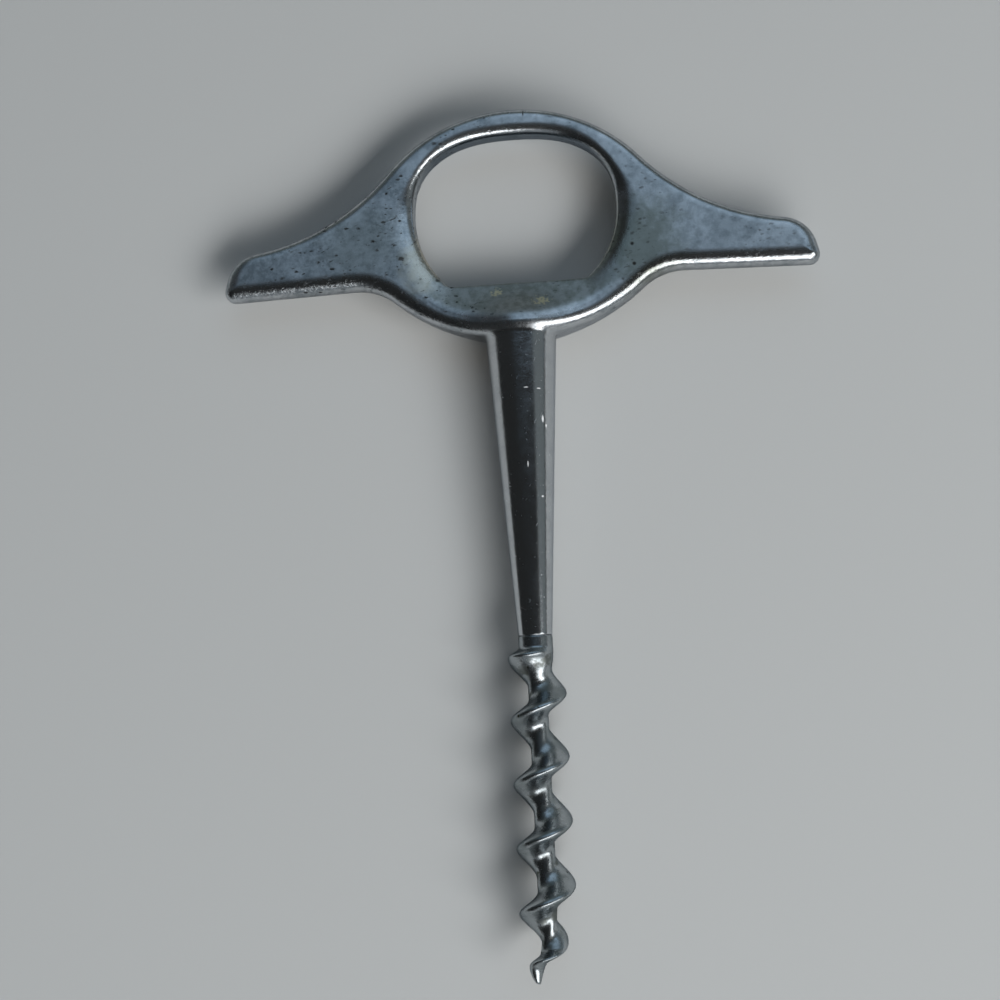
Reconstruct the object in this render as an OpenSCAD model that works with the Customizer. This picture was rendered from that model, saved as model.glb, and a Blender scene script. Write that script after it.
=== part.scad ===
// Direct-pull corkscrew: a one-piece handle with a stirrup ring, two finger wings and a tapered shank,
// and a steel worm whose tang sits in the end of the shank.
// It lies flat: X runs across the wings, Y along the pull with the ring at +Y, Z up from the rest surface.

/* [Shank] */
// Length of the shank from its end to the ring's rim
shank_len = 52.5; // [40:0.1:65]
// Diameter of the shank's end, and of the worm's collar
shank_end_d = 6; // [5:0.1:7]
// Diameter of the shank where it meets the rim
shank_top_d = 12.5; // [10:0.1:13.6]
// Depth of the socket that takes the worm's tang
socket_depth = 14; // [8:0.5:25]

/* [Ring] */
// Height of the web between the rim's lowest point and the lifter lip
web_h = 10.3; // [9.3:0.1:13]
// Width of the opening at its widest line
opening_w = 36.4; // [33:0.1:39]
// Height of the opening from the lip to the top of its arch
opening_h = 27.2; // [25:0.1:30]
// Height of the opening's widest line above the lip
opening_drop = 13.4; // [11:0.1:15]
// Squareness of the arch, 2 being a plain ellipse
arch_power = 2.45; // [2:0.05:2.8]
// Radius of the corners where the lip meets the sides
lip_corner_r = 1.7; // [0.8:0.1:3]
// Thickness of the lifter lip
lip_t = 3; // [1.8:0.1:3.4]
// Width of the crest between the lip's dish and the rim's rounded edge
crest_w = 1.2; // [0.6:0.1:2.5]
// Width of the bar at the top of the ring
crown_w = 5.1; // [4.6:0.1:6.5]
// Radius of the ring's outer edge at the crown
ring_r = 30.5; // [28.5:0.1:32]
// Radius of the ring's outer edge at the rim
rim_r = 34.1; // [32.5:0.1:38]

/* [Wings] */
// Span from tip to tip
wing_span = 107; // [96:0.1:118]
// Height of the wings' lower edge over the lip, at the tips
wing_lift = 0; // [-0.5:0.1:1]
// Width of a wing where its tip starts to round off
wing_tip_w = 8.8; // [8:0.1:10]
// Fall of the upper edge at the tip, in degrees
wing_fall = 8.3; // [6:0.1:11]
// Rise of the lower edge towards the ring, in degrees
wing_rise = 1.7; // [0:0.1:2.5]
// Lean of the tip's end, in degrees
tip_lean = 14.5; // [5:0.5:18]
// Radius of the tip's upper corner
tip_r = 6.6; // [4.5:0.1:7]
// Radius of the tip's lower corner
heel_r = 1.8; // [0.8:0.1:2]
// Radius of the blend from the lower edge into the rim
armpit_r = 10.6; // [5:0.1:12]

/* [Thickness] */
// Thickness of the wings and of the crown
plate_t = 4.8; // [4.6:0.1:6]
// How far the rim's crest stands proud of the shank
crest_proud = 0.45; // [0.4:0.05:0.8]
// Distance over which the crest falls halfway to the plate
crest_reach = 7.5; // [6:0.1:9]
// Radius of the rounded outer edges
edge_r = 2.1; // [1.6:0.05:2.15]
// Width of the rounding on the inside of the arch
arch_round = 2.2; // [1.6:0.05:2.25]
// Width of the rounding on the inside of the sides
side_round = 4.6; // [3:0.1:5]

/* [Worm] */
// Length of the worm from the shank's end to its point
worm_len = 58.7; // [48:0.1:70]
// Outer diameter over the flight
worm_d = 9.9; // [8.5:0.1:11]
// Diameter of the core at the root of the flight
core_d = 3.3; // [2.4:0.1:3.8]
// Distance from turn to turn
pitch = 10.8; // [9:0.05:12.5]
// Sharpness of the flight's crest, higher being sharper with a hollower root
flank_power = 2.4; // [1.4:0.1:2.6]
// Length of the plain collar
collar_len = 1.9; // [1.5:0.05:4]
// Length over which the crest swells out of the collar
swell_len = 1.7; // [1.5:0.1:4]
// Length over which the collar necks down to the core
neck_len = 7; // [6:0.1:11]
// Distance from the shank's end at which the flight first crosses the upper side
flight_y = 1.7; // [0:0.05:10]
// How far the flight runs ahead of and behind an even helix, in degrees
flight_lead = 12.5; // [0:0.5:25]

/* [Point] */
// Length over which the flight's crest draws in to the point
point_len = 9; // [7:0.1:13]
// Length over which the core draws in to the point
core_point_len = 13; // [9:0.1:16]
// Bluntness of the point, lower being blunter
point_power = 0.85; // [0.6:0.05:1]
// Share of the full thickness that is left at the point
point_share = 0.1; // [0.06:0.01:0.2]
// Length of the point's rounded end
point_round = 0.5; // [0.3:0.05:0.8]
// Distance of the point from the worm's axis
point_off = 2; // [1.5:0.05:3]
// Length over which the point swings out from the axis
hook_len = 9; // [6:0.1:11]
// Length of the point's straight end
straight_len = 1.8; // [1.5:0.1:2.6]
// Length over which the flight swings round to the point
swing_len = 4.2; // [2.5:0.1:5]
// Distance before the end at which an even flight would face the way of the point
turn_stop = 1.1; // [0:0.1:2.5]

/* [Fit] */
// Diameter of the worm's tang
tang_d = 3.2; // [2.6:0.1:4]
// Radial clearance between tang and socket
tang_clearance = 0.04; // [0.02:0.01:0.1]
// Clearance between the tang's end and the bottom of the socket
tang_end_gap = 0.5; // [0.2:0.1:1]

/* [Hidden] */
$fn = 64;

// Heights along Y, measured from the end of the shank
lip_y = shank_len + web_h;
opening_y = lip_y + opening_drop;
arch_rise = opening_h - opening_drop;
handle_len = lip_y + opening_h + crown_w;
crest_y = shank_len + edge_r + crest_w;

// Half thicknesses
plate_h = plate_t / 2;
lip_h = lip_t / 2;
taper = (shank_top_d - shank_end_d) / 2 / shank_len;
root_y = shank_len + edge_r;
root_r = shank_end_d / 2 + taper * root_y;
crest_h = root_r + crest_proud - taper * edge_r;

// The object is centred on Y over its whole length, and its lowest point touches the rest surface
mid_y = (handle_len - worm_len) / 2;

// Unit normal to the right of a heading, which points into the handle on its outer outline
function inward(a) = [sin(a), -cos(a)];
function mix(a, b, t) = a + (b - a) * t;
function clamp01(t) = min(max(t, 0), 1);
function ease(t) = (1 - cos(180 * clamp01(t))) / 2;

// Outer outline of the right half, from the top of the crown to the bottom of the rim.
// Arcs that turn left have a negative radius, so an inset shrinks every radius alike.
function arc(c, r, a0, a1, n, first = 0) =
    [for (i = [first:n]) c - r * inward(mix(a0, a1, i / n))];

half_span = wing_span / 2;
crown_c = [0, handle_len - ring_r];
rim_c = [0, shank_len + rim_r];
fall_a = -wing_fall;
end_a = tip_lean - 90;
under_a = -180 - wing_rise;

// The heel's centre at a distance from both the tip's end and the lower edge
under_e = [half_span, lip_y + wing_lift] * inward(under_a);
heel_x = half_span - heel_r;
heel_c = [heel_x, (under_e + heel_r - heel_x * inward(under_a).x) / inward(under_a).y];
end_e = heel_c * inward(end_a) - heel_r;
corner_det = inward(end_a).x * inward(under_a).y - inward(end_a).y * inward(under_a).x;
function heel_at(m) = [
    ((end_e + m) * inward(under_a).y - (under_e + m) * inward(end_a).y) / corner_det,
    ((under_e + m) * inward(end_a).x - (end_e + m) * inward(under_a).x) / corner_det
];

// The tip's rounded corner, tangent to the end, and the sweep tangent to both crown and tip
tip_y = lip_y + wing_lift + wing_tip_w - tip_r * cos(wing_fall);
tip_c = [(end_e + tip_r - inward(end_a).y * tip_y) / inward(end_a).x, tip_y];
tip_start = tip_c - tip_r * inward(fall_a) - crown_c;
sweep_r = (tip_start * tip_start - ring_r * ring_r) / (2 * (ring_r + tip_start * inward(fall_a)));
sweep_c = crown_c + tip_start - sweep_r * inward(fall_a);
sweep_a = -atan2((sweep_c - crown_c).x, (sweep_c - crown_c).y);

// The blend under the wing, tangent to the lower edge and to the rim
under_u = [cos(under_a), sin(under_a)];
under_g = [half_span, lip_y + wing_lift] - armpit_r * inward(under_a) - rim_c;
blend_r = rim_r + armpit_r;
under_s = -under_g * under_u - sqrt(pow(under_g * under_u, 2) - under_g * under_g + blend_r * blend_r);
armpit_c = rim_c + under_g + under_s * under_u;
rim_a = atan2((armpit_c - rim_c).x, -(armpit_c - rim_c).y) - 180;

// Smallest radius that an inset leaves on the heel
least_r = 0.12;

// Steps of each stretch of the outline
crown_steps = 11;
sweep_steps = 12;
tip_steps = 6;
heel_steps = 4;
under_steps = 9;
armpit_steps = 5;
rim_steps = 16;

function outline(inset) =
    let (
        heel = max(heel_r, inset + least_r),
        heel_arc = arc(heel_at(heel), heel - inset, end_a, under_a, heel_steps),
        armpit = arc(armpit_c, -armpit_r - inset, under_a, rim_a, armpit_steps)
    )
    concat(
        arc(crown_c, ring_r - inset, 0, sweep_a, crown_steps),
        arc(sweep_c, -sweep_r - inset, sweep_a, fall_a, sweep_steps, 1),
        arc(tip_c, tip_r - inset, fall_a, end_a, tip_steps, 1),
        heel_arc,
        [for (i = [1:under_steps - 1]) mix(heel_arc[heel_steps], armpit[0], i / under_steps)],
        armpit,
        arc(rim_c, rim_r - inset, rim_a, -180, rim_steps, 1)
    );

// Opening of the right half as a function of the way f round it from top to bottom
arch_f = 0.45;
side_f = 0.72;
corner_f = 0.79;
opening_r = opening_w / 2;
corner_x = sqrt(pow(opening_r - lip_corner_r, 2) - pow(opening_drop - lip_corner_r, 2));
corner_a = atan2(opening_drop - lip_corner_r, corner_x);

function arch_point(t) = [
    opening_r * pow(max(cos(t), 0), 2 / arch_power),
    opening_y + arch_rise * pow(max(sin(t), 0), 2 / arch_power)
];
function side_point(t) = [opening_r * cos(t), opening_y - opening_r * sin(t)];
function corner_point(t) = [corner_x + lip_corner_r * cos(t), lip_y + lip_corner_r * (1 - sin(t))];
function opening(f) =
    f < arch_f ? arch_point(90 * (1 - f / arch_f))
    : f < side_f ? side_point(corner_a * (f - arch_f) / (side_f - arch_f))
    : f < corner_f ? corner_point(mix(corner_a, 90, (f - side_f) / (corner_f - side_f)))
    : [corner_x * (1 - f) / (1 - corner_f), lip_y];

// The way round the opening that belongs to each point of the outline, in even steps along each stretch
crown_f = 0.29;
sweep_f = 0.53;
tip_f = 0.545;
heel_f = 0.555;
under_f = 0.6;
armpit_f = 0.65;
function steps_between(from, to, n) = [for (i = [1:n]) mix(from, to, i / n)];
ways = concat(
    [0],
    steps_between(0, crown_f, crown_steps),
    steps_between(crown_f, sweep_f, sweep_steps),
    steps_between(sweep_f, tip_f, tip_steps),
    steps_between(tip_f, heel_f, heel_steps + 1),
    steps_between(heel_f, under_f, under_steps),
    steps_between(under_f, armpit_f, armpit_steps),
    steps_between(armpit_f, 1, rim_steps)
);

// Half thickness of the handle: a plate that swells towards the crest above the shank
function half_t(p) =
    plate_h + (crest_h - plate_h) / (1 + (p.x * p.x + pow(p.y - crest_y, 2)) / pow(crest_reach, 2));

// Inner edge: rounded along arch and sides, and a dish that falls from the rim's crest to the lip.
// The dish rises in a straight slope over its first share and then rounds over to the crest.
slope_share = 0.8;
slope = 2 / (1 + slope_share);
function dish_rise(t) =
    t < slope_share ? slope * t : 1 - slope * pow(1 - t, 2) / (2 * (1 - slope_share));
side_from = 0.24;
side_run = 0.26;
dish_from = 0.6;
dish_run = 0.2;
// Least width of the flat face between the roundings of the ring's bar
face_least = 0.2;
function inner_reach(f, room) =
    mix(
        min(mix(arch_round, side_round, ease((f - side_from) / side_run)), room - face_least),
        room - crest_w,
        ease((f - dish_from) / dish_run)
    );
function inner_height(f, t, p) =
    mix(
        half_t(p) - edge_r + edge_r * sqrt(1 - pow(1 - t, 2)),
        mix(lip_h, half_t(p), dish_rise(t)),
        ease((f - dish_from) / dish_run)
    );

inner_steps = 6;
face_steps = 3;
edge_steps = 4;
edge_insets = [for (k = [0:edge_steps]) edge_r * (1 - cos(90 * k / edge_steps))];
edge_outlines = [for (d = edge_insets) outline(d)];
last = len(ways) - 1;

// One section of the upper half, straight across from the opening to the outer edge
function section(i) =
    let (
        f = ways[i],
        lip = opening(f),
        rim = edge_outlines[edge_steps][i],
        room = norm(rim - lip),
        inner = [
            for (k = [0:inner_steps])
                let (
                    t = 1 - cos(90 * k / inner_steps),
                    p = mix(lip, rim, t * inner_reach(f, room) / room)
                )
                    [p.x, p.y, inner_height(f, t, p)]
        ],
        edge = [
            for (k = [edge_steps:-1:0])
                let (p = edge_outlines[k][i])
                    [p.x, p.y, half_t(p) - edge_r * (1 - sin(90 * k / edge_steps))]
        ],
        face = [
            for (k = [1:face_steps - 1])
                let (p = mix(inner[inner_steps], edge[0], k / face_steps)) [p.x, p.y, half_t(p)]
        ]
    )
    concat(inner, face, edge);

function under(points) = [for (i = [len(points) - 1:-1:0]) [points[i].x, points[i].y, -points[i].z]];
function mirrored(points) = [for (p = points) [-p.x, p.y, p.z]];

// Triangles between neighbouring rows of a grid, each row being one closed section
function skin(rows, count, closed) = [
    for (i = [0:rows - (closed ? 1 : 2)], k = [0:count - 1])
        let (
            a = i * count + k,
            b = i * count + (k + 1) % count,
            c = ((i + 1) % rows) * count + (k + 1) % count,
            d = ((i + 1) % rows) * count + k
        )
            each [[a, b, c], [a, c, d]]
];

module ring_and_wings() {
    right = [for (i = [0:last]) let (s = section(i)) concat(s, under(s))];
    left = [for (i = [last - 1:-1:1]) mirrored(right[i])];
    sections = concat(right, left);
    polyhedron([for (s = sections) each s], skin(len(sections), len(sections[0]), true), convexity = 8);
}

module along_y(y) {
    translate([0, y, 0]) rotate([-90, 0, 0]) children();
}

// Shared place of both pieces: centred on the length, resting on the crest
module placed() {
    translate([0, -mid_y, crest_h]) children();
}

// How far the socket's cut runs out past the shank's end
cut_over = 1;

module handle() {
    color([0.62, 0.66, 0.72]) placed() difference() {
        union() {
            ring_and_wings();
            along_y(0) cylinder(h = root_y, r1 = shank_end_d / 2, r2 = root_r);
        }
        along_y(-cut_over) cylinder(h = cut_over + socket_depth, d = tang_d + 2 * tang_clearance);
    }
}

// Worm: sections square to the axis, each with one lobe that turns along the pitch
worm_r = worm_d / 2;
core_r = core_d / 2;
collar_r = shank_end_d / 2;
around = 20;
turn_steps = 22;
point_steps = 20;
flight_start = collar_len / 2;
swing_y = worm_len - straight_len - swing_len;
flight_steps = ceil((swing_y - flight_start) / pitch * turn_steps);
// The neck starts just inside the collar's wall
neck_inset = 0.05;
neck_r = collar_r - neck_inset;

function turned(y) = 360 * (y - flight_y) / pitch;
function helix_a(y) = 90 + turned(y) + flight_lead * sin(turned(y));
point_a = helix_a(worm_len - turn_stop);
function lobe_a(y) = mix(helix_a(y), point_a, ease((y - swing_y) / swing_len));

// How much of its full size a radius keeps as it draws in to the point over a reach
function drawn(y, reach) =
    mix(point_share, 1, pow(clamp01((worm_len - y) / reach), point_power))
        * sqrt(1 - pow(1 - clamp01((worm_len - y) / point_round), 2));
function crest_at(y) = drawn(y, point_len) * mix(neck_r, worm_r, ease((y - collar_len) / swell_len));
function core_at(y) =
    drawn(y, core_point_len) * mix(neck_r, core_r, pow(ease((y - collar_len) / neck_len), 2));
function flight_point(y, k) =
    let (
        around_lobe = 360 * k / around,
        r = mix(core_at(y), crest_at(y), pow((1 + cos(around_lobe)) / 2, flank_power)),
        off = point_off * ease(1 - (worm_len - y) / hook_len),
        a = lobe_a(y) - around_lobe
    )
    [r * cos(a) + off * cos(point_a), -y, r * sin(a) + off * sin(point_a)];

module flight() {
    stations = concat(
        [for (i = [0:flight_steps - 1]) mix(flight_start, swing_y, i / flight_steps)],
        [for (i = [0:point_steps - 1]) mix(swing_y, worm_len, sin(90 * i / point_steps))]
    );
    rows = [for (y = stations) [for (k = [0:around - 1]) flight_point(y, k)]];
    count = len(rows) * around;
    base = [for (k = [around - 1:-1:0]) k];
    point = [
        for (k = [0:around - 1]) [count - around + k, count - around + (k + 1) % around, count]
    ];
    polyhedron(
        concat([for (r = rows) each r], [flight_point(worm_len, 0)]),
        concat([base], skin(len(rows), around, false), point),
        convexity = 12
    );
}

module worm() {
    color([0.66, 0.67, 0.68]) placed() {
        flight();
        along_y(-collar_len) cylinder(h = collar_len, r = collar_r);
        along_y(-collar_len / 2) cylinder(h = collar_len / 2 + socket_depth - tang_end_gap, d = tang_d);
    }
}

handle();
worm();
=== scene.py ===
import math

import bpy
import numpy as np
from mathutils import Matrix, Vector


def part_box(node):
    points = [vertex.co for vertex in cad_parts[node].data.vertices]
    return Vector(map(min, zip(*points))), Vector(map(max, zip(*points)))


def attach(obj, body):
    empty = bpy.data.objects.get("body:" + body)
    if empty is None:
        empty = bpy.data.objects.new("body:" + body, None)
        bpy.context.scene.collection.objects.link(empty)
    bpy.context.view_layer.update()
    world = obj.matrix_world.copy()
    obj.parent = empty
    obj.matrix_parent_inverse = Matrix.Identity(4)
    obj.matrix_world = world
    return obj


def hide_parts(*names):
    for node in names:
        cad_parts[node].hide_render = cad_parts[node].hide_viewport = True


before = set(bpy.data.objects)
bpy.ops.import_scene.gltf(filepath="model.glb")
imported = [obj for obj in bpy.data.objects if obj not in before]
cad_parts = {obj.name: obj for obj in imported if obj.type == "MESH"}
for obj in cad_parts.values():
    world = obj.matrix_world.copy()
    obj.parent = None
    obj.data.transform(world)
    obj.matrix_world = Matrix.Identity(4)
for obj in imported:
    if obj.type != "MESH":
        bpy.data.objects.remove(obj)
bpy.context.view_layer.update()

mm = 0.001
handleLow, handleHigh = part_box("handle")
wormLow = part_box("worm")[0]
jointY = handleLow.y  # the shank's end, where the worm starts
axisZ = (handleLow.z + handleHigh.z) / 2  # both pieces lie about this height
rightAngle = math.pi / 2


def mix(a, b, t):
    return a + (b - a) * t


def ease(t):  # half a cosine wave from 0 to 1
    return (1 - np.cos(np.pi * np.clip(t, 0, 1))) / 2


def inward(angle):  # normal to the right of a heading
    return np.stack([np.sin(angle), -np.cos(angle)], -1)


def arc(centre, radius, fromAngle, toAngle, steps, first=0):
    # points of a circle by heading: centre less radius times the inward normal, left turns have radius < 0
    return centre - radius * inward(mix(fromAngle, toAngle, np.arange(first, steps + 1) / steps))


def between(a, b, steps):  # points of a straight line without its ends
    return mix(a, b, np.arange(1, steps)[:, None] / steps)


def withHeight(points, height):
    return np.concatenate([points, np.asarray(height)[..., None] + 0 * points[..., :1]], -1)


# meshes from grids

def gridQuads(rows, columns):
    index = np.arange(rows * columns).reshape(rows, columns)
    return np.stack([index[:-1, :-1], index[1:, :-1], index[1:, 1:], index[:-1, 1:]], -1).reshape(-1, 4)


def weld(parts, tolerance=2e-4):
    # stacks (points, quads, values) of several grids and makes one point of those that fall together
    points = np.concatenate([p.reshape(-1, 3) for p, q, v in parts])
    values = np.concatenate([v.reshape(p.size // 3, -1) for p, q, v in parts])
    starts = np.cumsum([0] + [p.size // 3 for p, q, v in parts[:-1]])
    quads = np.concatenate([q + start for (p, q, v), start in zip(parts, starts)])
    cells = np.round(points / tolerance).astype(np.int64)
    kept, first, place = np.unique(cells, axis=0, return_index=True, return_inverse=True)
    return points[first], place.reshape(-1)[quads], values[first]


def solidMesh(name, points, quads, attributes):
    # millimetres from the joint become metres in the frame, quads with two equal corners become triangles
    placed = points * mm + np.array([0, jointY, axisZ])
    a, b, c, d = (points[quads[:, k]] for k in range(4))
    volume = np.einsum("ij,ij->i", a, np.cross(b, c)).sum() + np.einsum("ij,ij->i", a, np.cross(c, d)).sum()
    if volume < 0:  # inside out
        quads = quads[:, ::-1]
    twin = quads == np.roll(quads, -1, axis=1)
    whole = ~twin.any(1)
    single = twin.sum(1) == 1
    spare = twin[single].argmax(1)
    keep = np.arange(4)[None, :] != spare[:, None]
    faces = quads[whole].tolist() + quads[single][keep].reshape(-1, 3).tolist()
    mesh = bpy.data.meshes.new(name)
    mesh.from_pydata(placed.tolist(), [], faces)
    for key, values in attributes.items():
        layer = mesh.attributes.new(key, "FLOAT", "POINT")
        layer.data.foreach_set("value", np.ascontiguousarray(values, dtype=np.float32))
    mesh.shade_smooth()
    mesh.update()
    piece = bpy.data.objects.new(name, mesh)
    bpy.context.scene.collection.objects.link(piece)
    print(name, len(placed), "points", len(faces), "faces")
    return piece


# handle: ring, wings and shank in one skin

handle = dict(  # millimetres and degrees
    span=(handleHigh.x - handleLow.x) / mm, length=(handleHigh.y - handleLow.y) / mm,
    crestHalf=(handleHigh.z - handleLow.z) / 2 / mm - 0.07,  # the hub's blend lifts the crest
    shankLength=52.5, shankEnd=6.0, shankTop=12.5, socketDepth=14.0, socketDiameter=3.28, endRound=0.22,
    webHeight=10.3, openingWidth=36.4, openingHeight=27.2, openingDrop=13.4, archPower=2.45,
    lipCorner=1.7, lipThick=3.0, lipRound=0.45, crestWidth=0.7, slopeShare=0.8,
    ringRadius=30.5, rimRadius=34.1, tipWidth=8.8, wingFall=8.3, wingRise=1.7, tipLean=14.5,
    tipRadius=6.6, heelRadius=1.8, leastHeel=0.12, armpitRadius=10.6,
    plateThick=4.8, crestReach=7.5, edgeRadius=2.1, edgeWide=2.9, archRound=2.2, sideRound=4.6,
    leastFace=0.2, blend=0.7, hubReach=12.0,
    arcSteps=dict(crown=44, sweep=56, tip=20, end=4, heel=10, under=40, armpit=14, rim=26, hub=44),
    rowSteps=dict(lip=16, face=11, edge=12, shank=90))


def handleGrids(size):
    lipY = size["shankLength"] + size["webHeight"]
    openY = lipY + size["openingDrop"]
    archRise = size["openingHeight"] - size["openingDrop"]
    crestY = size["shankLength"] + size["edgeRadius"] + size["crestWidth"]
    plateHalf, lipHalf = size["plateThick"] / 2, size["lipThick"] / 2
    edgeR, rimR, ringR = size["edgeRadius"], size["rimRadius"], size["ringRadius"]
    endR = size["shankEnd"] / 2
    taper = (size["shankTop"] / 2 - endR) / size["shankLength"]
    steps, rowSteps = size["arcSteps"], size["rowSteps"]
    hubSteps = steps["hub"]

    # outline: crown, sweep, tip, heel, lower edge, armpit and rim, each tangent to the next
    wingCorner = np.array([size["span"] / 2, lipY])
    crownC = np.array([0, size["length"] - ringR])
    rimC = np.array([0, size["shankLength"] + rimR])
    fallA, underA = math.radians(-size["wingFall"]), math.radians(-180 - size["wingRise"])
    endA = math.radians(size["tipLean"] - 90)
    endN, underN = inward(endA), inward(underA)
    underAlong = np.array([math.cos(underA), math.sin(underA)])
    underEdge = wingCorner @ underN
    heelX = wingCorner[0] - size["heelRadius"]
    heelC = np.array([heelX, (underEdge + size["heelRadius"] - heelX * underN[0]) / underN[1]])
    endEdge = heelC @ endN - size["heelRadius"]
    tipR = size["tipRadius"]
    tipY = wingCorner[1] + size["tipWidth"] - tipR * math.cos(fallA)
    tipC = np.array([(endEdge + tipR - endN[1] * tipY) / endN[0], tipY])
    tipStart = tipC - tipR * inward(fallA) - crownC
    sweepR = (tipStart @ tipStart - ringR ** 2) / (2 * (ringR + tipStart @ inward(fallA)))
    sweepC = crownC + tipStart - sweepR * inward(fallA)
    sweepA = -math.atan2(*(sweepC - crownC))
    toBlend = wingCorner - size["armpitRadius"] * underN - rimC
    along = toBlend @ underAlong
    blendR = rimR + size["armpitRadius"]
    armpitC = rimC + toBlend - (along + math.sqrt(along ** 2 - toBlend @ toBlend + blendR ** 2)) * underAlong
    rimA = math.atan2(armpitC[0] - rimC[0], rimC[1] - armpitC[1]) - math.pi
    hubA = math.asin(size["hubReach"] / rimR) - math.pi

    def outline(inset):  # every radius less the inset
        heelR = max(size["heelRadius"], inset + size["leastHeel"])
        heelAt = np.linalg.solve(np.stack([endN, underN]), [endEdge + heelR, underEdge + heelR])
        tip = arc(tipC, tipR - inset, fallA, endA, steps["tip"], 1)
        heel = arc(heelAt, heelR - inset, endA, underA, steps["heel"])
        armpit = arc(armpitC, -size["armpitRadius"] - inset, underA, rimA, steps["armpit"])
        return np.concatenate([
            arc(crownC, ringR - inset, 0, sweepA, steps["crown"]),
            arc(sweepC, -sweepR - inset, sweepA, fallA, steps["sweep"], 1),
            tip, between(tip[-1], heel[0], steps["end"]),
            heel, between(heel[-1], armpit[0], steps["under"]),
            armpit, arc(rimC, rimR - inset, rimA, hubA, steps["rim"], 1),
            arc(rimC, rimR - inset, hubA, -math.pi, hubSteps, 1)])

    # the opening's outline, by the way w from the top of the arch (0) to the middle of the lip (1)
    openR, cornerR = size["openingWidth"] / 2, size["lipCorner"]
    cornerX = math.sqrt((openR - cornerR) ** 2 - (size["openingDrop"] - cornerR) ** 2)
    cornerA = math.atan2(size["openingDrop"] - cornerR, cornerX)
    archWay, sideWay, cornerWay = 0.45, 0.72, 0.79  # where arch, side and corner end

    def opening(w):
        # arch: half width * cos(t) ^ (2 / power), rise * sin(t) ^ (2 / power)
        # side and corner: circles that touch; lip: a chord
        power = 2 / size["archPower"]
        t = rightAngle * (1 - np.clip(w / archWay, 0, 1))
        archX = openR * np.maximum(np.cos(t), 0) ** power
        arch = np.stack([archX, openY + archRise * np.maximum(np.sin(t), 0) ** power], -1)
        t = cornerA * np.clip((w - archWay) / (sideWay - archWay), 0, 1)
        side = np.stack([openR * np.cos(t), openY - openR * np.sin(t)], -1)
        t = mix(cornerA, rightAngle, np.clip((w - sideWay) / (cornerWay - sideWay), 0, 1))
        corner = np.stack([cornerX + cornerR * np.cos(t), lipY + cornerR - cornerR * np.sin(t)], -1)
        chord = np.stack([cornerX * (1 - w) / (1 - cornerWay), lipY + 0 * w], -1)
        w = w[..., None]
        lower = np.where(w < cornerWay, corner, chord)
        return np.where(w < archWay, arch, np.where(w < sideWay, side, lower))

    # the lower edges of wings and armpits are rounded wider; that grows along the tip and fades along the rim
    tipRun = steps["tip"] + steps["end"] - 1
    wider = np.concatenate([
        np.zeros(1 + steps["crown"] + steps["sweep"]), ease(np.arange(1, tipRun + 1) / tipRun),
        np.ones(steps["heel"] + steps["under"] + steps["armpit"] + 1),
        1 - ease(np.arange(1, steps["rim"] + 1) / steps["rim"]), np.zeros(hubSteps)])

    def edgeRow(turn):  # outline inset by radius * (1 - cos(turn))
        share = 1 - math.cos(turn)
        return mix(outline(edgeR * share), outline(size["edgeWide"] * share), wider[:, None])

    # way round the opening that belongs to each outline point, in even steps along each stretch
    faceEdge = edgeRow(rightAngle)
    wayEnds = (0, 0.29, 0.53, 0.555, 0.6, 0.65)
    waySteps = (steps["crown"], steps["sweep"], steps["tip"] + steps["end"] + steps["heel"],
                steps["under"], steps["armpit"])
    way = np.concatenate([[0]] + [mix(start, end, np.arange(1, count + 1) / count)
                                  for start, end, count in zip(wayEnds, wayEnds[1:], waySteps)])
    rimTurn = np.concatenate([mix(rimA, hubA, np.arange(1, steps["rim"] + 1) / steps["rim"]),
                              mix(hubA, -math.pi, np.arange(1, hubSteps + 1) / hubSteps)])
    way = np.concatenate([way, mix(way[-1], 1, (rimTurn - rimA) / (-math.pi - rimA))])

    def halfThick(p):
        # plate half + (crest half - plate half) / (1 + (distance from the crest / its reach) ^ 2)
        away = p[..., 0] ** 2 + (p[..., 1] - crestY) ** 2
        return plateHalf + (size["crestHalf"] - plateHalf) / (1 + away / size["crestReach"] ** 2)

    def dishRise(t):  # a straight slope, then a parabola that rounds over to the crest
        share = size["slopeShare"]
        slope, t = 2 / (1 + share), np.clip(t, 0, 1)
        return np.where(t < share, slope * t, 1 - slope * (1 - t) ** 2 / (2 * (1 - share)))

    # rows from the opening: wall, then a rounding that turns into the lip's dish
    sideFrom, sideOver, dishFrom, dishOver = 0.24, 0.26, 0.6, 0.2  # in ways round the opening
    t = 1 - np.cos(rightAngle * np.arange(rowSteps["lip"] + 1) / rowSteps["lip"])
    w, t = np.broadcast_arrays(way[:, None], t)
    lip = opening(w)
    rim = np.broadcast_to(faceEdge[:, None], lip.shape)
    span = np.linalg.norm(lip - rim, axis=-1)
    width = mix(size["archRound"], size["sideRound"], ease((w - sideFrom) / sideOver))
    width = np.minimum(width, span - size["leastFace"])
    dished = ease((w - dishFrom) / dishOver)
    reach = mix(width, span - size["crestWidth"], dished)
    p = mix(lip, rim, (t * reach / span)[..., None])
    rounded = halfThick(p) - edgeR + edgeR * np.sqrt(1 - (1 - t) ** 2)
    lipEdge = size["lipRound"] * (1 - np.sqrt(1 - (1 - np.clip(t * span / size["lipRound"], 0, 1)) ** 2))
    sloped = mix(lipHalf, halfThick(p), dishRise(t)) - lipEdge
    inner = withHeight(p, mix(rounded, sloped, dished))
    wallFoot = inner[:, :1] * np.array([1, 1, 0])
    inner = np.concatenate([wallFoot, mix(wallFoot, inner[:, :1], 0.5), inner], 1)

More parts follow.
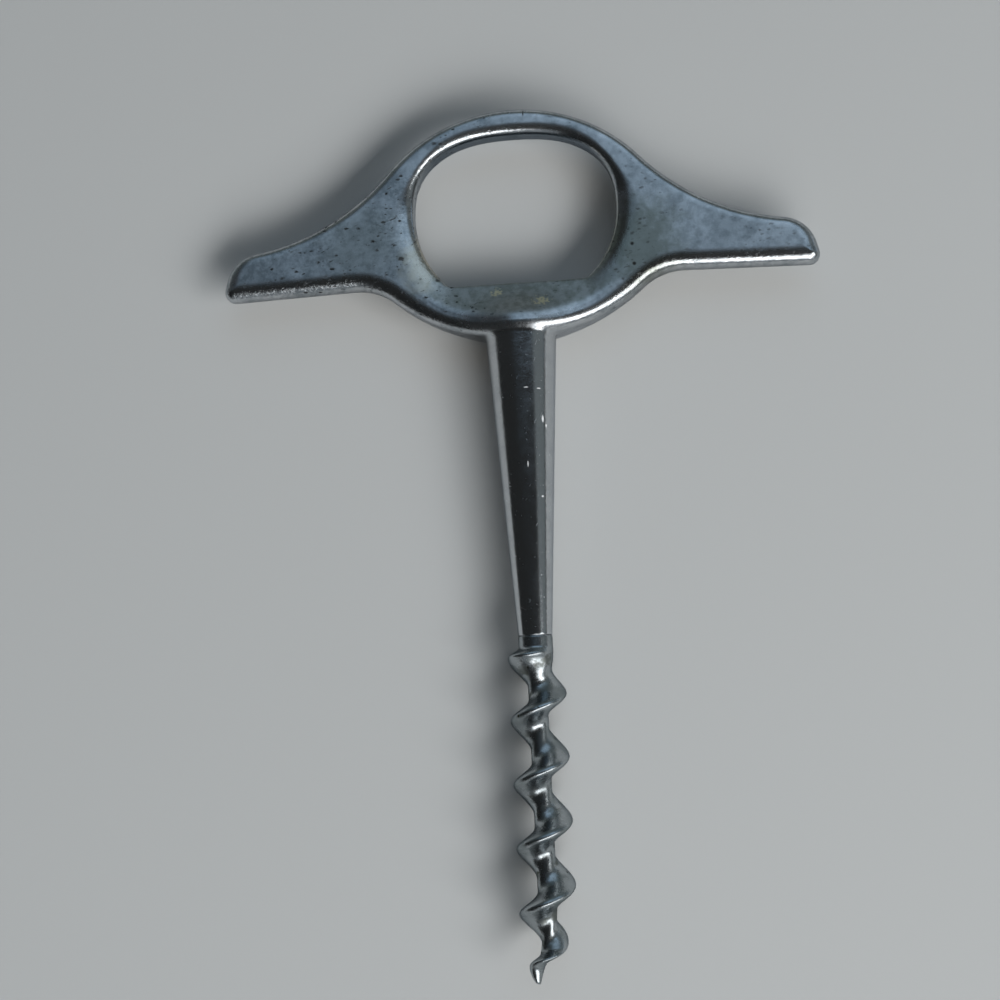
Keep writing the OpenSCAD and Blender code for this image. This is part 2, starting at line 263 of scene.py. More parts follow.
    # rows of the outer edge: quarter round, then the wall
    turn = rightAngle * np.arange(rowSteps["edge"], -1, -1) / rowSteps["edge"]
    p = np.stack([edgeRow(a) for a in turn], 1)
    outer = withHeight(p, halfThick(p) - edgeR * (1 - np.sin(turn)))
    wallFoot = outer[:, -1:] * np.array([1, 1, 0])
    outer = np.concatenate([outer, mix(outer[:, -1:], wallFoot, 0.5), wallFoot], 1)

    # rows of the face between both
    p = between(inner[:, -1:, :2], outer[:, :1, :2], rowSteps["face"])
    face = withHeight(p, halfThick(p))
    grid = np.concatenate([inner, face, outer], 1)
    crestRow = inner.shape[1] - 1

    # hub: the skin of ring and shank where they run into each other, zero of a blended distance
    def distance(p):
        # plate: distance to a round-edged plate, cone: distance to the shank;
        # both mixed by their share, less blend * share * (1 - share)
        x, y, z = p[..., 0], p[..., 1], np.abs(p[..., 2])
        across = edgeR - rimR + np.hypot(x, y - rimC[1])
        above = z - halfThick(p) + edgeR
        within = np.minimum(np.maximum(across, above), 0)
        plate = np.hypot(np.maximum(across, 0), np.maximum(above, 0)) + within - edgeR
        cone = (np.hypot(x, z) - endR - taper * y) / math.hypot(1, taper)
        cone = np.maximum(cone, y - size["shankLength"] - edgeR)
        share = np.clip(0.5 + 0.5 * (cone - plate) / size["blend"], 0, 1)
        return mix(cone, plate, share) - size["blend"] * share * (1 - share)

    def ontoSkin(p, rounds):  # Newton steps along the slope of the distance
        reach, leastSlope = 0.001, 0.05
        for k in range(rounds):
            slope = np.stack([distance(p + d) - distance(p - d) for d in np.eye(3) * reach], -1) / (2 * reach)
            p = p - (distance(p) / np.maximum((slope ** 2).sum(-1), leastSlope))[..., None] * slope
        return p

    def shares(paths):  # share of each path's length at each of its points
        lengths = np.linalg.norm(np.diff(paths, axis=1), axis=-1)
        walked = np.concatenate([np.zeros((len(paths), 1)), np.cumsum(lengths, 1)], 1)
        return walked / walked[:, -1:]

    def respaced(paths, wanted):
        have = shares(paths)
        return np.stack([np.stack([np.interp(at, known, path[:, k]) for k in range(3)], -1)
                         for at, known, path in zip(wanted, have, paths)])

    # the hub's paths end on the rim's middle, on a fillet and on the shank's first ring
    rimSteps, filletSteps, bendSteps = 16, 7, 14
    joinY = size["shankLength"] - size["blend"] - 0.15
    joinR = endR + taper * joinY
    round90 = rightAngle * np.linspace(1, 0, hubSteps + 1 - rimSteps - filletSteps)
    joinRing = np.stack([joinR * np.sin(round90), 0 * round90 + joinY, joinR * np.cos(round90)], -1)
    rimEnd = arc(rimC, rimR, hubA, math.asin((joinR + 1.4) / rimR) - math.pi, rimSteps - 1)
    rimEnd = withHeight(rimEnd, 0.0)
    s = (np.arange(1, filletSteps + 1) / (filletSteps + 1))[:, None]
    cornerPoint = np.array([joinR + 0.5, size["shankLength"] + 0.3, 0])
    fillet = ontoSkin((1 - s) ** 2 * rimEnd[-1] + 2 * s * (1 - s) * cornerPoint + s ** 2 * joinRing[0], 6)
    ends = np.concatenate([rimEnd, fillet, joinRing])
    hub = grid[-hubSteps - 1:]
    even = np.linspace(0, 1, hub.shape[1] - crestRow)
    wanted = mix(shares(hub[:1, crestRow:])[0], even, ease(np.linspace(0, 1, hubSteps + 1))[:, None])
    paths = mix(hub[:, crestRow, None], ends[:, None], wanted[..., None])
    bend = 1 - ease(np.arange(hubSteps + 1) / bendSteps)  # the first paths bend like the ring's rows
    paths += (hub[0, crestRow:] - paths[0]) * bend[:, None, None]
    for k in range(4):
        paths[:, 1:-1] = ontoSkin(paths[:, 1:-1], 5)
        paths = respaced(paths, wanted)
    paths[:, 1:-1] = ontoSkin(paths[:, 1:-1], 5)
    hub[1:, crestRow:] = paths[1:]

    # shank: cone, rounded end, socket; a profile turned about the axis
    y = np.linspace(joinY, size["endRound"], rowSteps["shank"])
    side = np.stack([endR + taper * y, y], -1)
    a = rightAngle * np.arange(1, 6) / 5
    r = size["endRound"]
    endTurn = np.stack([side[-1, 0] - r * (1 - np.cos(a)), r - r * np.sin(a)], -1)
    socketR, depth = size["socketDiameter"] / 2, size["socketDepth"]
    socket = np.array([
        [mix(endTurn[-1, 0], socketR, 0.5), 0], [socketR, 0], [socketR, 0.3], [socketR, depth / 2],
        [socketR, depth - 0.2], [socketR, depth], [socketR / 2, depth], [0, depth]])
    profile = np.concatenate([side, endTurn, socket])
    radius, turns = profile[:, 0], round90[:, None]
    shank = np.stack([radius * np.sin(turns), profile[:, 1] + 0 * turns, radius * np.cos(turns)], -1)

    # polish: 0 on the flat faces, 1 on edges and shank
    rows = np.arange(grid.shape[1])
    fromFace = np.maximum(crestRow - 2 - rows, rows - (crestRow + face.shape[1] + 1))
    polish = np.broadcast_to(ease(fromFace / 5), grid.shape[:2]).copy()
    polish[-hubSteps - 1:] = np.maximum(polish[-hubSteps - 1:], 0.35)
    # lip: 1 in the dish below the opening, which is rougher and has a painted reflection, a darker greenish
    # grey
    lipReflectionShare = np.zeros(grid.shape[:2])
    lipReflectionShare[:, 2:crestRow + 1] = dished * (1 - ease((t - 0.72) / 0.28))
    # wall: 1 on the steep inside of the arch, which gets painted shade, a dark colour for a dark reflection
    wallShadeShare = np.zeros(grid.shape[:2])
    wallShadeShare[:, 2:crestRow + 1] = (1 - ease((t - 0.10) / 0.16)) * (1 - ease((w - 0.22) / 0.18))
    wallShadeShare[:, :2] = wallShadeShare[:, 2:3]
    marks = np.stack([polish, lipReflectionShare, wallShadeShare], -1)
    return [(grid, marks), (shank, np.ones(shank.shape[:2])[..., None] * np.array([1, 0, 0]))]


def buildHandle(size):  # a quarter of the skin, mirrored to the other side and to the back
    parts = []
    for points, values in handleGrids(size):
        quads = gridQuads(*points.shape[:2])
        for flipX in (1, -1):
            for flipZ in (1, -1):
                parts.append((points * np.array([flipX, 1, flipZ]), quads[:, ::flipX * flipZ], values))
    points, quads, marks = weld(parts)
    return solidMesh("handleForging", points, quads, dict(zip(("polish", "lip", "wall"), marks.T)))


# worm: one skin from the tang's end to the point

worm = dict(  # millimetres and degrees
    length=(jointY - wormLow.y) / mm, outer=9.9, core=3.3, pitch=10.8, flankPower=2.4, lead=12.5, flightY=1.7,
    collarLength=1.9, collarDiameter=6.0, collarRound=0.2, swell=1.7, neck=7.0,
    pointLength=9.0, corePoint=13.0, pointPower=0.85, pointShare=0.1, pointRound=0.5, pointOff=2.0, hook=9.0,
    straight=1.8, swing=4.2, turnStop=1.1,
    tangDiameter=3.2, tangLength=13.5, jointGap=0.02,
    around=96, flightRows=560, pointRows=60, pointRowsOver=3)


def buildWorm(size):
    length, collarR, around = size["length"], size["collarDiameter"] / 2, size["around"]
    lobeA = 2 * np.pi * np.arange(around) / around

    def helix(y):  # turns with the pitch, running ahead and behind by the lead
        turned = 2 * np.pi * (y - size["flightY"]) / size["pitch"]
        return rightAngle + turned + math.radians(size["lead"]) * np.sin(turned)

    # flight: r = core + (crest - core) * ((1 + cos a) / 2) ^ power, a measured from the lobe
    over = size["pointRowsOver"]
    y = np.concatenate([np.linspace(size["collarLength"], length - over, size["flightRows"], endpoint=False),
                        length - over * (1 - np.sin(rightAngle * np.linspace(0, 1, size["pointRows"])))])
    crest = mix(collarR, size["outer"] / 2, ease((y - size["collarLength"]) / size["swell"]))
    core = mix(collarR, size["core"] / 2, ease((y - size["collarLength"]) / size["neck"]) ** 2)
    share = ((1 + np.cos(lobeA)) / 2) ** size["flankPower"]
    left = length - y

    def drawn(reach):  # share of its size that a radius keeps on its way to the point
        cap = np.sqrt(1 - (1 - np.clip(left / size["pointRound"], 0, 1)) ** 2)
        return mix(size["pointShare"], 1, np.clip(left / reach, 0, 1) ** size["pointPower"]) * cap

    # the lobe stops turning near the point, and the section leaves the axis that way
    swingY = length - size["straight"] - size["swing"]
    pointA = helix(length - size["turnStop"])
    lobe = mix(helix(y), pointA, ease((y - swingY) / size["swing"]))
    off = size["pointOff"] * ease(1 - left / size["hook"])
    coreR, crestR = drawn(size["corePoint"]) * core, drawn(size["pointLength"]) * crest
    radius = mix(coreR[:, None], crestR[:, None], share)
    angle = lobe[:, None] - lobeA
    flight = np.stack([radius * np.cos(angle) + (off * np.cos(pointA))[:, None], 0 * angle - y[:, None],
                       radius * np.sin(angle) + (off * np.sin(pointA))[:, None]], -1)
    ridge = np.broadcast_to(share, radius.shape)

    # tang and collar: a profile turned about the axis, in step with the flight's first row
    tangR, gap, r = size["tangDiameter"] / 2, size["jointGap"], size["collarRound"]
    a = rightAngle * np.arange(6) / 5
    collarTurn = np.stack([collarR - r + r * np.sin(a), -gap - r + r * np.cos(a)], -1)
    collarY = np.linspace(-gap - r, -size["collarLength"], 12, endpoint=False)[1:]
    profile = np.concatenate([
        [[0, size["tangLength"]], [tangR - 0.25, size["tangLength"]], [tangR, size["tangLength"] - 0.25],
         [tangR, 0.5], [tangR, -gap]], collarTurn, np.stack([0 * collarY + collarR, collarY], -1)])
    start, plainR = lobe[0] - lobeA, profile[:, :1]
    plain = np.stack([plainR * np.cos(start), profile[:, 1:] + 0 * start, plainR * np.sin(start)], -1)

    # the last column falls on the first and is welded to it
    points = np.concatenate([plain, flight])
    values = np.concatenate([np.ones(plain.shape[:2]), ridge])
    loop = np.concatenate([points, points[:, :1]], 1)
    values = np.concatenate([values, values[:, :1]], 1)
    points, quads, values = weld([(loop, gridQuads(*loop.shape[:2]), values)])
    return solidMesh("wormAuger", points, quads, {"ridge": values[:, 0]})


handlePiece = buildHandle(handle)
wormPiece = buildWorm(worm)
for piece, node, slotName in ((handlePiece, "handle", "handle_chrome"), (wormPiece, "worm", "worm_steel")):
    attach(piece, "root")
    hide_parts(node)


# shader helpers: a value is a number or colour, or the socket that it comes from

def feed(tree, socket, value):
    if isinstance(value, bpy.types.NodeSocket):
        tree.links.new(value, socket)
    else:
        socket.default_value = value


def addNode(tree, kind, inputs=None, **settings):
    node = tree.nodes.new(kind)
    for key, value in settings.items():
        setattr(node, key, value)
    for key, value in (inputs or {}).items():
        feed(tree, node.inputs[key], value)
    return node


def maths(tree, operation, *values, clamp=False):
    inputs = dict(enumerate(values))
    return addNode(tree, "ShaderNodeMath", inputs, operation=operation, use_clamp=clamp).outputs[0]


def times(tree, a, b):
    return maths(tree, "MULTIPLY", a, b)


def scaled(tree, value, factor, plus, clamp=False):  # value * factor + plus
    return maths(tree, "MULTIPLY_ADD", value, factor, plus, clamp=clamp)


def most(tree, first, *others):
    for other in others:
        first = maths(tree, "MAXIMUM", first, other)
    return first


def vectorMaths(tree, operation, a, b):
    return addNode(tree, "ShaderNodeVectorMath", {0: a, 1: b}, operation=operation).outputs[0]


def ramp(tree, value, low, high, toLow=0.0, toHigh=1.0):  # smooth step between two values
    inputs = {"Value": value, "From Min": low, "From Max": high, "To Min": toLow, "To Max": toHigh}
    return addNode(tree, "ShaderNodeMapRange", inputs, interpolation_type="SMOOTHSTEP").outputs["Result"]


def slide(tree, value, toLow, toHigh):  # straight run from one value to another
    inputs = {"Value": value, "To Min": toLow, "To Max": toHigh}
    return addNode(tree, "ShaderNodeMapRange", inputs).outputs["Result"]


def blendColour(tree, amount, a, b):
    node = addNode(tree, "ShaderNodeMix", data_type="RGBA")
    for place, value in ((0, amount), (6, a), (7, b)):
        feed(tree, node.inputs[place], value)
    return node.outputs[2]


def newGroup(name, inputs):  # three numbers make a vector socket, one makes a float socket
    tree = bpy.data.node_groups.new(name, "ShaderNodeTree")
    for key, value in inputs.items():
        kind = "NodeSocketVector" if isinstance(value, tuple) else "NodeSocketFloat"
        tree.interface.new_socket(key, in_out="INPUT", socket_type=kind).default_value = value
    tree.interface.new_socket("Mask", in_out="OUTPUT", socket_type="NodeSocketFloat")
    return tree, tree.nodes.new("NodeGroupInput").outputs, tree.nodes.new("NodeGroupOutput").inputs["Mask"]


def useGroup(tree, group, place, **inputs):
    node = addNode(tree, "ShaderNodeGroup", node_tree=group)
    for key, value in dict(inputs, Vector=place).items():
        feed(tree, node.inputs[key], value)
    return node.outputs["Mask"]


def pitGroup():
    # one ragged spot in some cells of a random cell pattern, its radius drawn for each cell
    tree, given, mask = newGroup("corrosionPits", {
        "Vector": (0, 0, 0), "Scale": 400.0, "Share": 0.3, "Radius": 0.25})
    ragged = addNode(tree, "ShaderNodeTexNoise", {"Vector": given["Vector"], "Detail": 3.0, "Scale": 2600.0})
    off = vectorMaths(tree, "SUBTRACT", ragged.outputs["Color"], (0.5, 0.5, 0.5))
    step = addNode(tree, "ShaderNodeVectorMath", {0: off, "Scale": 0.0005}, operation="SCALE").outputs[0]
    moved = vectorMaths(tree, "ADD", given["Vector"], step)
    cells = addNode(tree, "ShaderNodeTexVoronoi", {"Vector": moved, "Scale": given["Scale"]})
    draw = addNode(tree, "ShaderNodeSeparateColor", {"Color": cells.outputs["Color"]})
    some = maths(tree, "LESS_THAN", draw.outputs[0], given["Share"])
    rim = times(tree, given["Radius"], scaled(tree, draw.outputs[1], 0.75, 0.25))
    core = times(tree, rim, 0.45)
    spot = ramp(tree, cells.outputs["Distance"], core, rim, 1.0, 0.0)
    tree.links.new(times(tree, spot, some), mask)
    return tree


def scratchGroup():
    # noise drawn out along one turned axis and cut to its highest streaks
    tree, given, mask = newGroup("rubMarks", {
        "Vector": (0, 0, 0), "Turn": (0, 0, 0), "Fineness": 2200.0, "Length": 70.0, "Cut": 0.66})
    turned = addNode(tree, "ShaderNodeMapping", {"Vector": given["Vector"], "Rotation": given["Turn"]})
    grain = addNode(tree, "ShaderNodeCombineXYZ", {
        0: given["Fineness"], 1: given["Length"], 2: given["Fineness"]})
    drawn = vectorMaths(tree, "MULTIPLY", turned.outputs[0], grain.outputs[0])
    noise = addNode(tree, "ShaderNodeTexNoise", {
        "Vector": drawn, "Scale": 1.0, "Detail": 2.0, "Roughness": 0.6})
    high = maths(tree, "ADD", given["Cut"], 0.05)
    tree.links.new(ramp(tree, noise.outputs["Fac"], given["Cut"], high), mask)
    return tree


def tarnishGroup():
    # clouds of many sizes, kept between two levels
    tree, given, mask = newGroup("tarnishClouds", {
        "Vector": (0, 0, 0), "Scale": 150.0, "Low": 0.4, "High": 0.65})
    noise = addNode(tree, "ShaderNodeTexNoise", {
        "Vector": given["Vector"], "Scale": given["Scale"], "Detail": 6.0, "Roughness": 0.62})
    tree.links.new(ramp(tree, noise.outputs["Fac"], given["Low"], given["High"]), mask)
    return tree


def patchGroup():
    # one soft patch: distance from its centre over its reach, with an uneven rim
    tree, given, mask = newGroup("softPatch", {
        "Vector": (0, 0, 0), "Centre": (0, 0, 0), "Reach": (0.01, 0.01, 0.01), "Uneven": 0.8, "Grain": 700.0})
    off = vectorMaths(tree, "SUBTRACT", given["Vector"], given["Centre"])
    shares = vectorMaths(tree, "DIVIDE", off, given["Reach"])
    away = addNode(tree, "ShaderNodeVectorMath", {0: shares}, operation="LENGTH").outputs["Value"]
    noise = addNode(tree, "ShaderNodeTexNoise", {
        "Vector": given["Vector"], "Scale": given["Grain"], "Detail": 4.0})
    uneven = times(tree, maths(tree, "SUBTRACT", noise.outputs["Fac"], 0.5), given["Uneven"])
    tree.links.new(ramp(tree, maths(tree, "ADD", away, uneven), 0.25, 1.0, 1.0, 0.0), mask)
    return tree


pits, rubs, tarnish, patch = pitGroup(), scratchGroup(), tarnishGroup(), patchGroup()


def newMaterial(name):
    material = bpy.data.materials.new(name)
    material.use_nodes = True
    tree = material.node_tree
    return material, tree, tree.nodes["Principled BSDF"]


def objectPlace(tree):
    return addNode(tree, "ShaderNodeTexCoord").outputs["Object"]


def pointValue(tree, name):  # a mesh attribute
    return addNode(tree, "ShaderNodeAttribute", attribute_name=name).outputs["Fac"]


# lip is a painted reflection in the dish and wall is painted shade on the arch's inside
chrome = dict(
    bright=(0.61, 0.63, 0.65, 1), dull=(0.32, 0.35, 0.37, 1), pit=(0.05, 0.05, 0.048, 1),
    lip=(0.31, 0.335, 0.31, 1), shoulder=(0.25, 0.265, 0.235, 1), grime=(0.74, 0.69, 0.49, 1),
    film=(0.72, 0.63, 0.46, 1), wall=(0.13, 0.16, 0.19, 1), scratch=(0.85, 0.86, 0.87, 1),
    rim=(0.55, 0.57, 0.60, 1), satin=0.30, mirror=0.14, lipRough=0.44)
patches = dict(  # centre and reach in metres
    shoulder=((0.0215, 0.0500, 0.0091), (0.0120, 0.0125, 0.02)),
    shoulderLeft=((-0.0275, 0.0530, 0.0091), (0.0110, 0.0100, 0.02)),
    corner=((-0.0172, 0.0487, 0.0091), (0.0050, 0.0080, 0.02)),
    stainLeft=((-0.0038, 0.0427, 0.0102), (0.0011, 0.0009, 0.01)),
    stainRight=((0.0041, 0.0404, 0.0102), (0.0016, 0.0009, 0.01)),
    dotHigh=((0.0206, 0.0499, 0.0091), (0.00045, 0.00045, 0.01)),
    dotLow=((0.0208, 0.0462, 0.0091), (0.00045, 0.0004, 0.01)),
    crestPit=((0.0002, 0.0359, 0.0127), (0.0006, 0.00045, 0.01)),
    nick=((0.0024, 0.0756, 0.0091), (0.00016, 0.0011, 0.01)),
    scratchA=((0.0008, 0.0247, 0.0117), (0.0007, 0.00018, 0.004)),
    scratchB=((0.0034, 0.0192, 0.0117), (0.00022, 0.0008, 0.004)),
    scratchC=((0.0039, 0.0180, 0.0117), (0.00018, 0.0006, 0.004)),
    scratchD=((0.0027, 0.0057, 0.0117), (0.00035, 0.0003, 0.004)),
    scratchE=((0.0005, 0.0113, 0.0117), (0.00015, 0.0007, 0.004)),
    scratchF=((0.0030, 0.0245, 0.0117), (0.0005, 0.00016, 0.004)))


def chromeMaterial(look, places):
    material, tree, shader = newMaterial("wornChrome")
    place = objectPlace(tree)
    polish, lip, wall = (pointValue(tree, name) for name in ("polish", "lip", "wall"))
    x, y = addNode(tree, "ShaderNodeSeparateXYZ", {0: place}).outputs[:2]

    def mark(name, uneven=0.8, grain=700.0):
        centre, reach = places[name]
        return useGroup(tree, patch, place, Centre=centre, Reach=reach, Uneven=uneven, Grain=grain)

    def tinted(colour, amount, tint):
        return blendColour(tree, amount, colour, look[tint])

    worn = ramp(tree, x, -0.016, 0.010, 1.0, 0.45)  # the left wing has the most pits
    onRing = ramp(tree, y, 0.033, 0.038)
    clouds = useGroup(tree, tarnish, place, Scale=150.0, Low=0.40, High=0.66)
    mottle = useGroup(tree, tarnish, place, Scale=620.0, Low=0.40, High=0.66)
    speckle = useGroup(tree, tarnish, place, Scale=1700.0, Low=0.35, High=0.7)
    cluster = useGroup(tree, tarnish, place, Scale=130.0, Low=0.40, High=0.54)

    # spots: pits of two sizes drawn out along the wings, short dashes, and those that have a place
    flat = addNode(tree, "ShaderNodeMapping", {"Vector": place, "Scale": (0.6, 1.0, 1.0)}).outputs[0]
    coarse = useGroup(tree, pits, flat, Scale=520.0, Share=0.85, Radius=0.24)
    fine = useGroup(tree, pits, flat, Scale=1100.0, Share=0.90, Radius=0.36)
    dashes = useGroup(tree, rubs, place, Turn=(0.0, 0.0, 1.15), Fineness=1700.0, Length=420.0, Cut=0.66)
    gathered = times(tree, times(tree, cluster, worn), scaled(tree, onRing, 0.9, 0.1))
    marked = most(tree, times(tree, coarse, 0.8), fine, times(tree, dashes, 0.7))
    dots = most(tree, mark("dotHigh"), mark("dotLow"), mark("crestPit"), mark("nick", 0.2))
    spots = most(tree, times(tree, marked, gathered), dots)
    along = useGroup(tree, rubs, place, Turn=(0.2, 0.0, 0.35), Fineness=2400.0, Length=110.0, Cut=0.70)
    across = useGroup(tree, rubs, place, Turn=(0.0, 0.4, -1.1), Fineness=2800.0, Length=150.0, Cut=0.70)
    lines = most(tree, along, across)

    # colour: clouded plate, tired shoulders, dish (painted reflection), arch wall (painted shade), film,
    # stains, pits, and scratches on top
    shade = scaled(tree, mottle, 0.45, times(tree, clouds, 0.45))
    shade = scaled(tree, times(tree, speckle, gathered), 0.55, shade, clamp=True)
    colour = tinted(look["bright"], times(tree, shade, scaled(tree, onRing, 0.7, 0.3)), "dull")
    tired = most(tree, mark("shoulder"), times(tree, mark("shoulderLeft"), 0.45))
    colour = tinted(colour, times(tree, tired, 0.9), "shoulder")
    # painted reflection: the dish's darker greenish grey stands for the cloth and room seen in it
    colour = tinted(colour, times(tree, lip, scaled(tree, mottle, 0.5, 0.5)), "lip")
    # painted shade: the arch's steep inside is darkened for a dark reflection
    colour = tinted(colour, times(tree, wall, 0.85), "wall")
    colour = tinted(colour, times(tree, mark("corner"), 0.5), "film")
    stains = most(tree, mark("stainLeft", 4.0, 2200.0), mark("stainRight", 4.0, 2200.0))
    colour = tinted(colour, stains, "grime")
    colour = tinted(colour, times(tree, spots, 0.9), "pit")
    cuts = most(tree, *(mark("scratch" + letter, 0.9) for letter in "ABCDEF"))
    colour = tinted(colour, cuts, "scratch")
    tree.links.new(colour, shader.inputs["Base Color"])
    tree.links.new(scaled(tree, cuts, -0.8, 1.0), shader.inputs["Metallic"])

    rough = slide(tree, lip, slide(tree, polish, look["satin"], look["mirror"]), look["lipRough"])
    rough = scaled(tree, shade, 0.08, rough)
    rough = scaled(tree, lines, 0.22, rough)
    tree.links.new(scaled(tree, spots, 0.35, rough, clamp=True), shader.inputs["Roughness"])

    # bump: speckle, more of it along the worn lower edges, and pits
    lowEdge = times(tree, onRing, ramp(tree, y, 0.056, 0.050))
    ragged = times(tree, times(tree, polish, lowEdge), worn)
    height = scaled(tree, speckle, scaled(tree, ragged, 0.9, 0.25), times(tree, spots, -1.0))
    height = scaled(tree, mottle, 0.25, height)
    bump = addNode(tree, "ShaderNodeBump", {"Height": height, "Strength": 0.35, "Distance": 0.00005})
    tree.links.new(bump.outputs[0], shader.inputs["Normal"])
    shader.inputs["Specular Tint"].default_value = look["rim"]
    return material


# grime darkens the pits and the roots; in the roots it is partly dirt and partly painted shade
steel = dict(bright=(0.42, 0.45, 0.465, 1), dull=(0.20, 0.23, 0.235, 1), grime=(0.08, 0.085, 0.06, 1),
             rim=(0.30, 0.32, 0.34, 1), rough=0.23)


def steelMaterial(look):
    material, tree, shader = newMaterial("augerSteel")
    place, ridge = objectPlace(tree), pointValue(tree, "ridge")
    clouds = useGroup(tree, tarnish, place, Scale=260.0, Low=0.4, High=0.66)
    blots = useGroup(tree, tarnish, place, Scale=420.0, Low=0.5, High=0.62)
    speckle = useGroup(tree, tarnish, place, Scale=1500.0, Low=0.35, High=0.7)
    spots = useGroup(tree, pits, place, Scale=600.0, Share=0.2, Radius=0.2)
    lines = useGroup(tree, rubs, place, Turn=(0.0, 0.0, 1.2), Fineness=2600.0, Length=160.0, Cut=0.66)
    root = ramp(tree, ridge, 0.05, 0.6, 1.0, 0.0)  # dirt and painted shade gather between the turns
    dirtAndShade = times(tree, times(tree, root, blots), 0.6)
    colour = blendColour(tree, times(tree, clouds, 0.6), look["bright"], look["dull"])
    colour = blendColour(tree, most(tree, dirtAndShade, spots), colour, look["grime"])
    tree.links.new(colour, shader.inputs["Base Color"])
    rough = scaled(tree, clouds, 0.08, look["rough"])
    rough = scaled(tree, dirtAndShade, 0.25, rough)
    tree.links.new(scaled(tree, lines, 0.1, rough, clamp=True), shader.inputs["Roughness"])
    height = scaled(tree, speckle, 0.4, times(tree, spots, -1.0))
    bump = addNode(tree, "ShaderNodeBump", {"Height": height, "Strength": 0.4, "Distance": 0.00006})
    tree.links.new(bump.outputs[0], shader.inputs["Normal"])
    shader.inputs["Metallic"].default_value = 1.0
    shader.inputs["Specular Tint"].default_value = look["rim"]
    return material


handlePiece.data.materials.append(chromeMaterial(chrome, patches))
wormPiece.data.materials.append(steelMaterial(steel))
print("materials done")


# floor, light and camera

floorLook = dict(side=2.4, colour=(0.51, 0.52, 0.515, 1), rough=0.9, gloss=0.1)


def buildFloor(look):
    half = look["side"] / 2
    corners = [(-half, -half, 0), (half, -half, 0), (half, half, 0), (-half, half, 0)]
    mesh = bpy.data.meshes.new("paleFloor")
    mesh.from_pydata(corners, [], [(0, 1, 2, 3)])
    floor = bpy.data.objects.new("paleFloor", mesh)
    bpy.context.scene.collection.objects.link(floor)
    material, tree, shader = newMaterial("paleFloor")
    shader.inputs["Base Color"].default_value = look["colour"]
    shader.inputs["Roughness"].default_value = look["rough"]
    shader.inputs["Specular IOR Level"].default_value = look["gloss"]
    mesh.materials.append(material)


room = dict(
    horizon=(0.40, 0.41, 0.405, 1), overhead=(0.022, 0.023, 0.023, 1), skyLeft=(0.265, 0.365, 0.465, 1),
    skyRight=(0.42, 0.55, 0.68, 1), farLeft=(0.055, 0.060, 0.066, 1), lowBack=(0.11, 0.13, 0.13, 1),
    lowSide=(0.15, 0.17, 0.175, 1), lowFront=(0.23, 0.25, 0.265, 1),
    # each zone fades in from the first to the second value of a direction's x, y or z
    skyX=(-0.25, 0.08), farLeftX=(-0.26, -0.46), skyY=(0.16, 0.26), backY=(0.3, 0.7), backZ=(0.55, 0.35),
    sideX=(0.60, 0.74), sideZ=(0.10, 0.16), frontX=(-0.42, -0.27), frontY=(-0.35, -0.6), frontZ=(0.75, 0.45),
    levelY=(0.7, 0.3), levelZ=(0.05, 0.0))


def buildWorld(look):
    # dark overhead, light blue beyond the ring from dark left to light right, grey low down, pale horizon
    world = bpy.data.worlds.new("softRoom")
    bpy.context.scene.world = world
    world.use_nodes = True
    tree = world.node_tree
    tree.nodes.clear()
    toward = addNode(tree, "ShaderNodeTexCoord").outputs["Generated"]
    x, y, z = addNode(tree, "ShaderNodeSeparateXYZ", {0: toward}).outputs

    def fade(value, zone):
        return ramp(tree, value, *look[zone])

    sky = blendColour(tree, fade(x, "skyX"), look["skyLeft"], look["skyRight"])
    sky = blendColour(tree, fade(x, "farLeftX"), sky, look["farLeft"])
    colour = blendColour(tree, fade(y, "skyY"), look["overhead"], sky)
    colour = blendColour(tree, times(tree, fade(z, "backZ"), fade(y, "backY")), colour, look["lowBack"])
    colour = blendColour(tree, times(tree, fade(x, "sideX"), fade(z, "sideZ")), colour, look["lowSide"])
    front = times(tree, times(tree, fade(z, "frontZ"), fade(y, "frontY")), fade(x, "frontX"))
    colour = blendColour(tree, front, colour, look["lowFront"])
    colour = blendColour(tree, times(tree, fade(z, "levelZ"), fade(y, "levelY")), colour, look["horizon"])
    light = addNode(tree, "ShaderNodeBackground", {"Color": colour, "Strength": 1.0})
    out = addNode(tree, "ShaderNodeOutputWorld")
    tree.links.new(light.outputs[0], out.inputs[0])


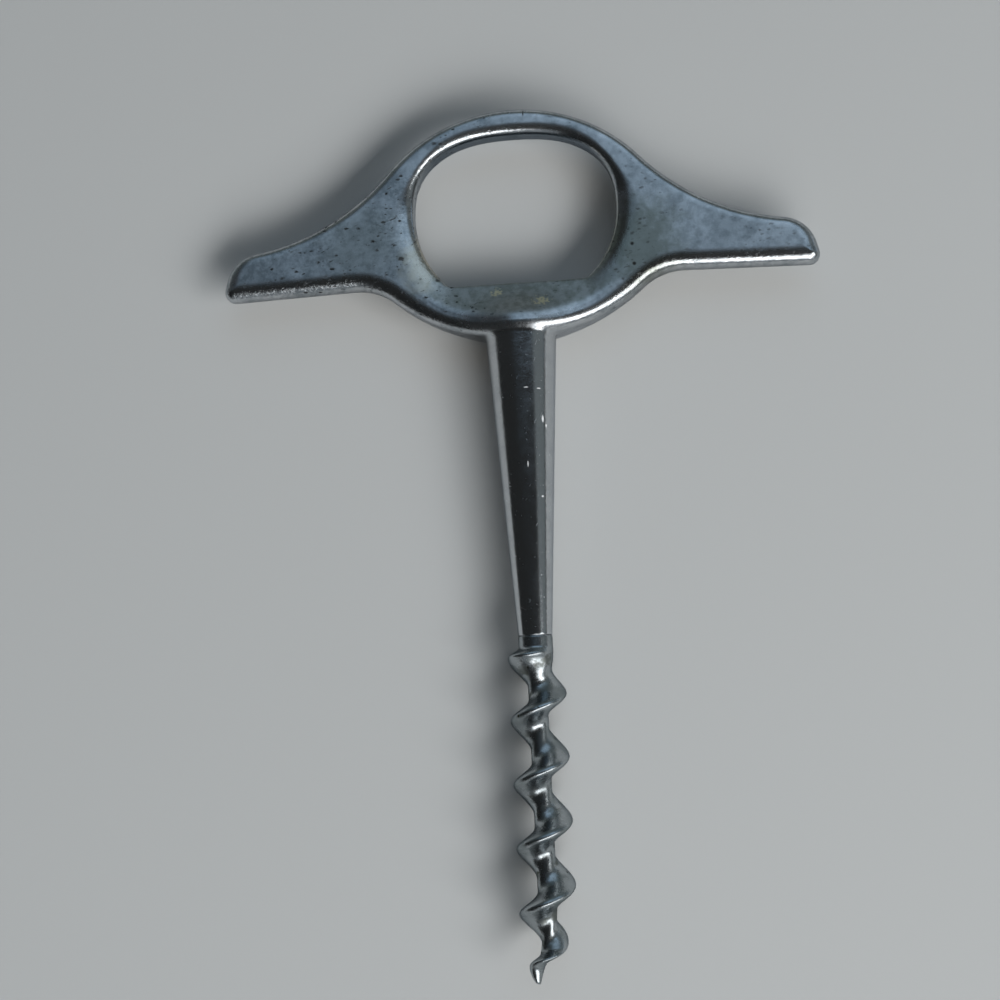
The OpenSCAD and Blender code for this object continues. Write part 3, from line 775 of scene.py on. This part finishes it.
lamps = dict(  # degrees, metres and watts; azimuth from -Y towards +X
    softWindow=dict(azimuth=36.0, elevation=36.0, away=1.2, width=1.5, height=0.51, power=8.0,
                    colour=(1, 1, 1), inMetal=True),
    softTop=dict(azimuth=46.0, elevation=41.0, away=1.8, width=1.65, height=0.63, power=20.5,
                 colour=(1, 1, 1), inMetal=False),
    softFill=dict(azimuth=20.0, elevation=80.0, away=1.4, width=1.6, height=1.6, power=1.0,
                  colour=(1.0, 0.74, 0.48), inMetal=False))


def buildLamp(name, look):
    azimuth, elevation = math.radians(look["azimuth"]), math.radians(look["elevation"])
    level = Vector((math.sin(azimuth), -math.cos(azimuth), 0))
    toward = level * math.cos(elevation) + Vector((0, 0, math.sin(elevation)))
    lamp = bpy.data.lights.new(name, "AREA")
    lamp.shape = "RECTANGLE"
    lamp.size, lamp.size_y = look["width"], look["height"]
    lamp.energy, lamp.color = look["power"], look["colour"]
    piece = bpy.data.objects.new(name, lamp)
    piece.location = toward * look["away"]
    piece.rotation_euler = toward.to_track_quat("Z", "Y").to_euler()
    piece.visible_glossy = look["inMetal"]
    bpy.context.scene.collection.objects.link(piece)


view = dict(  # millimetres from the joint, degrees
    place=(17.38, -9.28, 261.75), target=(-5.07, 24.09, 0.0), roll=-2.587,
    lens=54.07, sensor=36.0, nearest=5.0)


def buildCamera(look):
    joint = Vector((0, jointY, axisZ))
    place, target = (Vector(look[key]) * mm + joint for key in ("place", "target"))
    forward = (target - place).normalized()
    right = forward.cross(Vector((0, 1, 0))).normalized()
    right = Matrix.Rotation(math.radians(-look["roll"]), 3, forward) @ right
    up = right.cross(forward)
    data = bpy.data.cameras.new("photoView")
    data.lens, data.sensor_fit = look["lens"], "HORIZONTAL"
    data.sensor_width = data.sensor_height = look["sensor"]
    data.clip_start = look["nearest"] * mm
    camera = bpy.data.objects.new("photoView", data)
    camera.matrix_world = Matrix.Translation(place) @ Matrix((right, up, -forward)).transposed().to_4x4()
    bpy.context.scene.collection.objects.link(camera)
    bpy.context.scene.camera = camera


buildFloor(floorLook)
buildWorld(room)
for name, look in lamps.items():
    buildLamp(name, look)
buildCamera(view)
bpy.context.scene.view_settings.view_transform = "Standard"
print("stage done")
